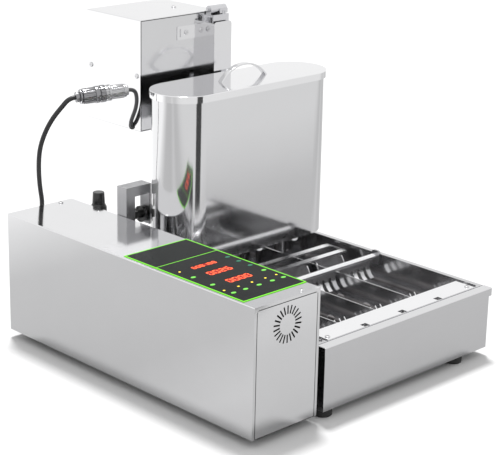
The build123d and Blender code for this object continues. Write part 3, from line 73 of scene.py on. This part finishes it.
class Shade:
    """A value in a material that adds and multiplies like a number; node() adds any other node."""

    def __init__(self, material, socket=None):
        self.material = material
        self.socket = socket

    def node(self, kind, settings=None, inputs=None, output=0):
        made = self.material.node_tree.nodes.new("ShaderNode" + kind)
        for name, value in (settings or {}).items():
            if name == "stops":
                ramp = made.color_ramp.elements
                while len(ramp) < len(value):
                    ramp.new(0.5)
                for stop, (place, grey) in zip(ramp, value):
                    stop.position = place
                    stop.color = (grey, grey, grey, 1)
            else:
                setattr(made, name, value)
        for name, value in (inputs or {}).items():
            if isinstance(value, Shade):
                self.material.node_tree.links.new(value.socket, made.inputs[name])
            else:
                made.inputs[name].default_value = value
        return Shade(self.material, made.outputs[output])

    def math(self, operation, first, second=0.0):
        return self.node("Math", {"operation": operation}, {0: first, 1: second})

    def __add__(self, other):
        return self.math("ADD", self, other)

    def __radd__(self, other):
        return self.math("ADD", other, self)

    def __sub__(self, other):
        return self.math("SUBTRACT", self, other)

    def __rsub__(self, other):
        return self.math("SUBTRACT", other, self)

    def __mul__(self, other):
        return self.math("MULTIPLY", self, other)

    def __rmul__(self, other):
        return self.math("MULTIPLY", other, self)

    def __gt__(self, other):
        return self.math("GREATER_THAN", self, other)

    def __lt__(self, other):
        return self.math("LESS_THAN", self, other)


def new_finish(name):
    """An empty material, its coordinates on the object and its main shader."""
    material = bpy.data.materials.new(name)
    material.use_nodes = True
    shader = material.node_tree.nodes["Principled BSDF"]
    start = Shade(material)
    return start, start.node("TexCoord", output="Object"), shader


def feed(shader, socket, value):
    """A number or colour is set on the shader's own socket, and a worked-out value is linked."""
    if isinstance(value, Shade):
        value.material.node_tree.links.new(value.socket, shader.inputs[socket])
    else:
        shader.inputs[socket].default_value = value


def noise(start, place, scale, detail=3.0):
    """Soft mottling with that many spots a metre, from 0 to 1."""
    return start.node("TexNoise", None, {"Vector": place, "Scale": scale, "Detail": detail})


def two_tone(start, mask, low, high):
    """One colour where the mask is 0 and the other where it is 1; each may be a worked-out one."""
    first, second = (part if isinstance(part, Shade) else (*part, 1) for part in (low, high))
    settings = {"data_type": "RGBA"}
    return start.node("Mix", settings, {0: mask, 6: first, 7: second}, output=2)


def bumps(start, height, distance, strength=1.0):
    """A normal that follows small heights."""
    inputs = {"Height": height, "Distance": distance, "Strength": strength}
    return start.node("Bump", None, inputs)


def moulded(name, colour, roughness, grain=900.0, depth=0.00003, coat=0.0):
    """Rubber or plastic as it leaves its mould: a fine grain and slightly uneven gloss."""
    start, place, shader = new_finish(name)
    mottle = noise(start, place, 60.0)
    lighter = [min(1.0, part * 1.25 + 0.004) for part in colour]
    feed(shader, "Base Color", two_tone(start, mottle, colour, lighter))
    feed(shader, "Roughness", roughness + 0.12 * (mottle - 0.5))
    feed(shader, "Normal", bumps(start, noise(start, place, grain), depth))
    feed(shader, "Coat Weight", coat)
    return start.material


def coat(material, *names):
    """Gives CAD nodes their finish."""
    for name in names:
        nodes[name].material_slots[0].material = material


def laid_cord(name, node, route, radius, material):
    """A smooth round cord with the route's points as its control points."""
    curve = bpy.data.curves.new(name, "CURVE")
    curve.dimensions = "3D"
    curve.bevel_depth = radius
    curve.bevel_resolution = 6
    curve.resolution_u = 16
    spline = curve.splines.new("NURBS")
    spline.points.add(len(route) - 1)
    for point, place in zip(spline.points, route):
        point.co = (*place, 1)
    spline.order_u = 3
    spline.use_endpoint_u = True
    cord = bpy.data.objects.new(name, curve)
    bpy.context.collection.objects.link(cord)
    curve.materials.append(material)
    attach(cord, "frame")
    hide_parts(node)
    return cord


cable_black = moulded("cable_black", (0.012, 0.012, 0.013), 0.38, 700.0, 0.00004)
pigtail_grey = moulded("pigtail_grey", (0.055, 0.055, 0.058), 0.45, 700.0, 0.00004)

plug_end = Vector((-0.17782, 0.21432, 0.41275))
socket_end = Vector((-0.095, 0.17975, 0.4195))
plug_axis = (socket_end - plug_end).normalized()
gland_mouth = (-0.1745, 0.29975, 0.056)
motor_cable = laid_cord(
    "cable_to_motor_box",
    "motor_cable",
    [
        plug_end,
        plug_end - 0.010 * plug_axis,
        (-0.1990, 0.22325, 0.3980),
        (-0.2105, 0.23225, 0.3800),
        (-0.2185, 0.24325, 0.3555),
        (-0.2205, 0.25625, 0.3255),
        (-0.2130, 0.27075, 0.2905),
        (-0.2000, 0.28625, 0.2505),
        (-0.1845, 0.29975, 0.2130),
        (-0.1745, 0.32075, 0.1820),
        (-0.1685, 0.34075, 0.1490),
        (-0.1665, 0.35575, 0.1180),
        (-0.1670, 0.35575, 0.0910),
        (-0.1690, 0.34375, 0.0690),
        (-0.1720, 0.32375, 0.0560),
        gland_mouth,
    ],
    0.004,
    cable_black,
)
grommet_mouth = (-0.0725, 0.19675, 0.3515)
pigtail = laid_cord(
    "pigtail_from_motor_box",
    "pigtail_cable",
    [
        socket_end,
        socket_end + 0.012 * plug_axis,
        (-0.0770, 0.17675, 0.4030),
        (-0.0770, 0.18075, 0.3840),
        (-0.0777, 0.18825, 0.3690),
        (-0.0770, 0.19475, 0.3560),
        grommet_mouth,
    ],
    0.0033,
    pigtail_grey,
)
coat(moulded("grommet_rubber", (0.02, 0.02, 0.02), 0.6), "pigtail_grommet")
coat(moulded("gland_nylon", (0.015, 0.015, 0.016), 0.42, coat=0.2), "cable_gland")

# --- Inline connector -------------------------------------------------------------------------
# A chrome-plated aviation-style coupling: a ribbed plug barrel and its ring nut on the cable, a
# ribbed socket barrel on the pigtail. Each is turned from brass bar, its ribs milled, then plated.


def plated(name, colour, roughness):
    """Bright plating with faint turning marks and a few duller spots."""
    start, place, shader = new_finish(name)
    spots = noise(start, place, 220.0, 4.0)
    feed(shader, "Base Color", two_tone(start, spots, [part * 0.9 for part in colour], colour))
    feed(shader, "Metallic", 1.0)
    feed(shader, "Roughness", roughness + 0.10 * spots)
    feed(shader, "Normal", bumps(start, spots, 0.00002))
    return start.material


def turned_ring(low, high, radius, ribs=0):
    """A ring from one end to the other of its share of the axis, plain or with milled ribs."""
    sides = 4 * ribs if ribs else 48
    bpy.ops.object.select_all(action="DESELECT")
    bpy.ops.mesh.primitive_cylinder_add(vertices=sides, radius=radius, depth=high - low)
    ring = bpy.context.object
    if ribs:
        bpy.ops.object.mode_set(mode="EDIT")
        bpy.ops.mesh.select_all(action="DESELECT")
        bpy.ops.object.mode_set(mode="OBJECT")
        for face in ring.data.polygons:
            turn = math.atan2(face.center.y, face.center.x) / math.tau * sides
            face.select = abs(face.normal.z) < 0.5 and round(turn - 0.5) % 4 < 2
        bpy.ops.object.mode_set(mode="EDIT")
        bpy.ops.mesh.inset(thickness=0.0003, depth=-0.0014)
        bpy.ops.object.mode_set(mode="OBJECT")
    soften = ring.modifiers.new("edges", "BEVEL")
    soften.width = 0.0003 if ribs else 0.0008
    soften.segments = 2
    soften.angle_limit = 0.9
    bpy.ops.object.modifier_apply(modifier="edges")
    bpy.ops.object.shade_smooth_by_angle(angle=0.6)
    ring.data.transform(Matrix.Translation((0, 0, (low + high) / 2)))
    return ring


def along(start, direction, rings, name, body="frame"):
    """Joins rings into one piece whose own upright axis is turned along a direction."""
    bpy.ops.object.select_all(action="DESELECT")
    for ring in rings:
        ring.select_set(True)
    bpy.context.view_layer.objects.active = rings[0]
    if len(rings) > 1:
        bpy.ops.object.join()
    piece = rings[0]
    piece.name = name
    piece.data.transform(direction.to_track_quat("Z", "Y").to_matrix().to_4x4())
    piece.data.transform(Matrix.Translation(start))
    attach(piece, body)
    return piece


plug_chrome = plated("plug_chrome", (0.30, 0.30, 0.31), 0.16)
socket_chrome = plated("socket_chrome", (0.52, 0.52, 0.53), 0.12)
plug = along(
    plug_end,
    plug_axis,
    [
        turned_ring(0.0000, 0.0075, 0.0085),
        turned_ring(0.0075, 0.0105, 0.0122),
        turned_ring(0.0105, 0.0120, 0.0100),
        turned_ring(0.0120, 0.0330, 0.0130, ribs=12),
        turned_ring(0.0330, 0.0400, 0.0141),
        turned_ring(0.0400, 0.0420, 0.0120),
        turned_ring(0.0420, 0.0500, 0.0143, ribs=16),
    ],
    "connector_plug_ribbed",
)
plug.data.materials.append(plug_chrome)
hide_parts("connector_plug")
socket = along(
    plug_end,
    plug_axis,
    [
        turned_ring(0.0502, 0.0560, 0.0133, ribs=16),
        turned_ring(0.0560, 0.0600, 0.0136),
        turned_ring(0.0600, 0.0820, 0.0116, ribs=12),
        turned_ring(0.0820, 0.0860, 0.0108),
        turned_ring(0.0860, 0.0900, 0.0085),
    ],
    "connector_socket_ribbed",
)
socket.data.materials.append(socket_chrome)
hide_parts("connector_socket")

# --- Control box covers -----------------------------------------------------------------------
# The control box is folded from 1.2 mm stainless sheet with a mirror polish: a bent cover for
# both sides and the top, and two end plates let into it. Sheet this thin is never quite flat, so
# reflections in it swim a little.


# Painted shade: the grey and widths of dark lines coloured round plate edges and under the tank's lip,
# where the seams and the lip would shade.
PAINTED_SHADE_GREY = (0.10, 0.10, 0.10)
SEAM_SHADE_WIDTH = 0.0009
LIP_SHADOW_WIDTH = 0.0016


def painted_seam_shade(start, place, plate, width):
    """1 in a narrow line of painted seam shade round an upright plate that faces the front, and 0
    elsewhere.
    """
    low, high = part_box(plate)
    across = start.node("SeparateXYZ", None, {"Vector": place})
    height = Shade(across.material, across.socket.node.outputs[2])
    sides = (across < low[0] + width) + (across > high[0] - width)
    ends = (height < low[2] + width) + (height > high[2] - width)
    return start.math("MINIMUM", sides + ends, 1.0)


def lip_shadow(start, place, plate, depth):
    """1 in a narrow line of painted shadow just under a lip of that depth, and 0 elsewhere."""
    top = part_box(plate)[1][2]
    height = start.node("SeparateXYZ", None, {"Vector": place}, output=2)
    return (height < top - depth) * (height > top - depth - LIP_SHADOW_WIDTH)


def polished(name, colour, roughness, wave=0.00025, wave_size=4.0, plate=None, lip=None):
    """Mirror-polished stainless sheet: faint waves, hazy patches and hairline polishing marks.

    A plate named here gets painted seam shade: a dark line coloured on round its edge, in place of
    the shaded seam. A plate with a lip gets a painted shadow line under the lip instead.
    """
    start, place, shader = new_finish(name)
    haze = noise(start, place, 14.0, 2.0)
    streaks = start.node("Mapping", None, {"Vector": place, "Scale": (900.0, 900.0, 12.0)})
    marks = noise(start, streaks, 1.0, 2.0)
    darker = [part * 0.965 for part in colour]
    steel = two_tone(start, haze, darker, colour)
    # Painted shade: a dark line coloured round the plate's edge, or just under its lip.
    if plate:
        if lip:
            mask = lip_shadow(start, place, plate, lip)
        else:
            mask = painted_seam_shade(start, place, plate, SEAM_SHADE_WIDTH)
        steel = two_tone(start, mask, steel, PAINTED_SHADE_GREY)
    feed(shader, "Base Color", steel)
    feed(shader, "Metallic", 1.0)
    feed(shader, "Roughness", roughness + 0.05 * haze + 0.03 * marks)
    waves = noise(start, place, wave_size, 1.0)
    feed(shader, "Normal", bumps(start, waves, wave))
    return start.material


box_steel = polished("box_steel", (0.80, 0.80, 0.81), 0.06)
# The control box's front plate gets a painted seam-shade line round its edge.
front_steel = polished("front_steel", (0.84, 0.84, 0.85), 0.07, plate="control_box_front_plate")
coat(box_steel, "control_box_shell")
coat(front_steel, "control_box_front_plate")
coat(polished("rear_steel", (0.76, 0.76, 0.77), 0.08), "control_box_rear_plate")
coat(polished("base_steel", (0.60, 0.60, 0.62), 0.30), "control_box_base")
coat(plated("screw_steel", (0.70, 0.70, 0.71), 0.14), "cover_screws")
coat(moulded("foot_rubber", (0.018, 0.018, 0.018), 0.65), "rubber_feet")
coat(moulded("fan_plastic", (0.012, 0.012, 0.013), 0.5), "cooling_fan_frame", "cooling_fan_rotor")
coat(moulded("inlet_plastic", (0.015, 0.015, 0.015), 0.4), "mains_inlet")

# --- Parts inside the control box -------------------------------------------------------------
# A green circuit board under the panel, a folded aluminium power supply, relays on a finned heat
# sink, and the black gearmotor that turns the crank.
coat(moulded("board_green", (0.02, 0.12, 0.04), 0.35, coat=0.4), "control_board")
coat(plated("supply_aluminium", (0.62, 0.63, 0.65), 0.35), "power_supply", "heater_relays")
coat(moulded("motor_black", (0.02, 0.02, 0.022), 0.35, coat=0.3), "drive_motor", "depositor_motor")
coat(plated("crank_steel", (0.58, 0.58, 0.60), 0.22), "drive_crank")

# --- Control panel ----------------------------------------------------------------------------
# A printed polyester sheet over the box's top: glossy black, a bright green line round its edge
# and another between its header and the controls, printed on the back so that it stays glossy.
panel_low, panel_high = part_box("panel_overlay")
border_width = 0.0024
divider_y = panel_low[1] + 0.191


def printed_panel():
    """Black print with its green lines."""
    start, place, shader = new_finish("panel_print")
    x = start.node("SeparateXYZ", None, {"Vector": place})
    y = Shade(x.material, x.socket.node.outputs[1])
    left = x < panel_low[0] + border_width
    right_side = x > panel_high[0] - border_width
    front = y < panel_low[1] + border_width
    back = y > panel_high[1] - border_width
    divider = (y > divider_y) * (y < divider_y + 0.0016)
    lines = left + right_side + front + back + divider
    green = start.math("MINIMUM", lines, 1.0)
    mottle = noise(start, place, 35.0)
    ink = two_tone(start, mottle, (0.006, 0.007, 0.007), (0.014, 0.016, 0.015))
    feed(shader, "Base Color", two_tone(start, green, ink, (0.17, 0.62, 0.04)))
    feed(shader, "Roughness", 0.16 + 0.08 * mottle)
    feed(shader, "Normal", bumps(start, noise(start, place, 500.0), 0.00001))
    feed(shader, "Specular IOR Level", 0.04)
    return start.material


coat(printed_panel(), "panel_overlay")


def lit(name, colour, glow, strength, roughness=0.25):
    """Coloured plastic with a light behind it."""
    start, place, shader = new_finish(name)
    mottle = noise(start, place, 120.0)
    dim = [part * 0.75 for part in colour]
    feed(shader, "Base Color", two_tone(start, mottle, dim, colour))
    feed(shader, "Roughness", roughness + 0.1 * mottle)
    feed(shader, "Specular IOR Level", 0.1)
    feed(shader, "Emission Color", (*glow, 1))
    feed(shader, "Emission Strength", strength)
    return start.material


# Oval push keys of green silicone; the three at the back of the right-hand column are dimmer.
key_green = lit("key_green", (0.16, 0.55, 0.08), (0.10, 0.45, 0.04), 0.35)
key_dim = lit("key_dim", (0.03, 0.16, 0.10), (0.01, 0.12, 0.07), 0.12)
coat(key_green, "key_1", "key_2", "key_3", "key_4", "key_5", "key_6", "key_10", "key_11")
coat(key_dim, "key_7", "key_8", "key_9")
coat(lit("lamp_yellow", (0.80, 0.62, 0.05), (0.9, 0.65, 0.05), 0.8), "indicator_lamps")
coat(lit("window_red", (0.12, 0.002, 0.001), (0.60, 0.010, 0.004), 0.45), "digit_displays")

# --- Digits -----------------------------------------------------------------------------------
# Seven-segment LED digits behind the three red windows: six small ones in the back row and four
# larger ones in each of the others, every segment a separate bar of light.
SEGMENTS = {
    "0": "abcdef",
    "1": "bc",
    "2": "abged",
    "5": "afgcd",
    "6": "afgcde",
    "8": "abcdefg",
}
SEGMENT_PLACES = {
    "a": (0, 1, False),
    "b": (0.5, 0.5, True),
    "c": (0.5, -0.5, True),
    "d": (0, -1, False),
    "e": (-0.5, -0.5, True),
    "f": (-0.5, 0.5, True),
    "g": (0, 0, False),
}


BAR_SHOULDER = 3.2  # how far the bar's straight part reaches towards its points


def segment(x, y, z, length, width, upright):
    """One bar of light with pointed ends."""
    bpy.ops.object.select_all(action="DESELECT")
    bpy.ops.mesh.primitive_circle_add(vertices=6, radius=0.5, fill_type="NGON")
    bar = bpy.context.object
    bpy.ops.object.mode_set(mode="EDIT")
    bpy.ops.mesh.extrude_region_move(TRANSFORM_OT_translate={"value": (0, 0, 0.00012)})
    bpy.ops.object.mode_set(mode="OBJECT")
    stretch = Matrix.Diagonal((length, width, 1, 1))
    for corner in bar.data.vertices:
        if abs(corner.co.x) < 0.4:
            corner.co.x *= BAR_SHOULDER
    bar.data.transform(stretch)
    if upright:
        bar.data.transform(Matrix.Rotation(math.pi / 2, 4, "Z"))
    bar.data.transform(Matrix.Translation((x, y, z)))
    return bar


def digit_row(node_y, text, pitch, height):
    """One row of digits, centred in its window."""
    low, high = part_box("digit_displays")
    middle_x = (low[0] + high[0]) / 2
    bars = []
    for place, mark in enumerate(text):
        x = middle_x + (place - (len(text) - 1) / 2) * pitch
        for name in SEGMENTS[mark]:
            dx, dy, upright = SEGMENT_PLACES[name]
            reach = height * 0.42
            bar = segment(
                x + dx * height * 0.56,
                node_y + dy * height * 0.44,
                high[2] - 0.00001,
                reach,
                height * 0.12,
                upright,
            )
            bars.append(bar)
    return bars


digit_glow = lit("digit_glow", (0.9, 0.05, 0.01), (1.0, 0.16, 0.06), 2.4)
lit_bars = digit_row(-0.12925, "608188", 0.0082, 0.0095)
lit_bars += digit_row(-0.16325, "0026", 0.0123, 0.0140)
lit_bars += digit_row(-0.20525, "0000", 0.0123, 0.0140)
bpy.ops.object.select_all(action="DESELECT")
for bar in lit_bars:
    bar.select_set(True)
bpy.context.view_layer.objects.active = lit_bars[0]
bpy.ops.object.join()
digits = bpy.context.object
digits.name = "led_digits"
digits.data.materials.append(digit_glow)
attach(digits, "frame")

# --- Frying tank ------------------------------------------------------------------------------
# Mirror-polished outer case and lip, a deep-drawn pan, dividers and a bright discharge plate.
coat(polished("tank_steel", (0.70, 0.70, 0.71), 0.07), "tank_housing")
# The tank's front panel gets a painted shadow line just under its lip.
lipped = polished("lipped_steel", (0.72, 0.72, 0.73), 0.07, plate="tank_front_panel", lip=0.0135)
coat(lipped, "tank_front_panel")
coat(polished("pan_steel", (0.60, 0.60, 0.61), 0.12, 0.0004, 9.0), "tank_pan", "lane_dividers")
coat(polished("deck_steel", (0.74, 0.74, 0.75), 0.09), "rear_deck")
coat(polished("discharge_steel", (0.90, 0.90, 0.91), 0.05), "discharge_plate")
coat(plated("heater_sheath", (0.20, 0.19, 0.19), 0.35), "heating_element")
coat(plated("probe_steel", (0.60, 0.60, 0.61), 0.18), "thermostat_probe")
coat(plated("bearing_steel", (0.42, 0.42, 0.43), 0.25), "shaft_bearings")
coat(polished("fork_steel", (0.88, 0.88, 0.89), 0.22, 0.0003, 20.0), "turner", "lifter", "pusher_frame")

# --- Hopper -----------------------------------------------------------------------------------
# Rolled and welded tub of mirror-polished sheet with a drop-on lid and a bent flat-bar handle.
hopper_steel = polished("hopper_steel", (0.72, 0.72, 0.73), 0.05, 0.0002, 3.0)
coat(hopper_steel, "hopper_body")
coat(polished("lid_steel", (0.84, 0.84, 0.85), 0.05), "hopper_lid")
coat(polished("handle_steel", (0.78, 0.78, 0.79), 0.10, 0.0001, 30.0), "lid_handle")
coat(plated("plunger_steel", (0.64, 0.64, 0.66), 0.18), "plunger_set")
coat(polished("bracket_steel", (0.46, 0.46, 0.47), 0.28), "hopper_bracket")

# --- Locking pin and clamp knob ---------------------------------------------------------------
# Moulded phenolic grips on steel stems.
coat(moulded("pin_grip", (0.014, 0.014, 0.014), 0.22, coat=0.5), "hopper_lock_pin")
coat(moulded("knob_black", (0.012, 0.012, 0.012), 0.35, coat=0.3), "clamp_knob")

# --- Mast, slider and motor box ---------------------------------------------------------------
# Channel-section mast with a sliding rack plate, its folded hook on top, and the motor box.
coat(polished("mast_steel", (0.76, 0.76, 0.77), 0.06), "mast")
coat(polished("slider_steel", (0.66, 0.66, 0.68), 0.16), "lift_slider", "slider_hook")
coat(plated("pinion_steel", (0.50, 0.50, 0.52), 0.25), "drive_pinion")
coat(polished("motor_box_steel", (0.82, 0.82, 0.83), 0.06), "motor_box_cover")
# The motor box's front plate gets a painted seam-shade line round its edge.
motor_front = polished("motor_front", (0.68, 0.68, 0.69), 0.08, plate="motor_box_front_plate")
coat(motor_front, "motor_box_front_plate")

# --- Studio -----------------------------------------------------------------------------------
# An even white surround and one strong light almost overhead, a little behind the machine, so
# that the shadow lies just in front of its lower edges. The camera sees one plain floor tone,
# while reflections in the steel see the floor shaded from front to back.
bpy.context.scene.view_settings.view_transform = "Standard"
bpy.ops.object.select_all(action="DESELECT")
bpy.ops.mesh.primitive_circle_add(vertices=64, radius=14.0, fill_type="NGON")
floor = bpy.context.object
floor.name = "studio_floor"
start, place, shader = new_finish("floor_white")
depth = start.node("SeparateXYZ", None, {"Vector": place}, output=1)
range_y = {"Value": depth, "From Min": -1.0, "From Max": 1.0}
across = start.node("MapRange", None, range_y)
stops = [
    (0.00, 0.45),
    (0.12, 0.41),
    (0.22, 0.35),
    (0.33, 0.34),
    (0.42, 0.40),
    (0.52, 0.34),
    (0.75, 0.35),
    (0.88, 0.48),
    (1.00, 0.64),
]
tint = start.node("ValToRGB", {"stops": stops}, {"Fac": across})
# Reflections also see a dark patch in front, which draws a dark streak on the hopper's round end.
side = Shade(depth.material, depth.socket.node.outputs[0])
bearing = start.math("DIVIDE", side + 0.13, -0.03 - depth)
patch = (bearing > 0.04) * (bearing < 0.42) * (depth < -0.72)
reflected = two_tone(start, patch, tint, (0.04, 0.04, 0.04))
seen = start.node("LightPath", output=0)
feed(shader, "Base Color", two_tone(start, seen, reflected, (0.60, 0.60, 0.60)))
feed(shader, "Roughness", 0.9)
feed(shader, "Specular IOR Level", 0.0)
floor.data.materials.append(start.material)

world = bpy.data.worlds.new("studio")
bpy.context.scene.world = world
world.use_nodes = True
sky = world.node_tree.nodes["Background"]
sky.inputs["Color"].default_value = (1, 1, 1, 1)
sky.inputs["Strength"].default_value = 1.0

bpy.ops.object.light_add(type="SUN", location=(0.4, 0.6, 2.5))
lamp = bpy.context.object
lamp.name = "overhead_light"
lamp.data.energy = 3.2
lamp.data.angle = 0.16
lamp.rotation_euler = Vector((-0.16, -0.24, -1.0)).to_track_quat("-Z", "Y").to_euler()
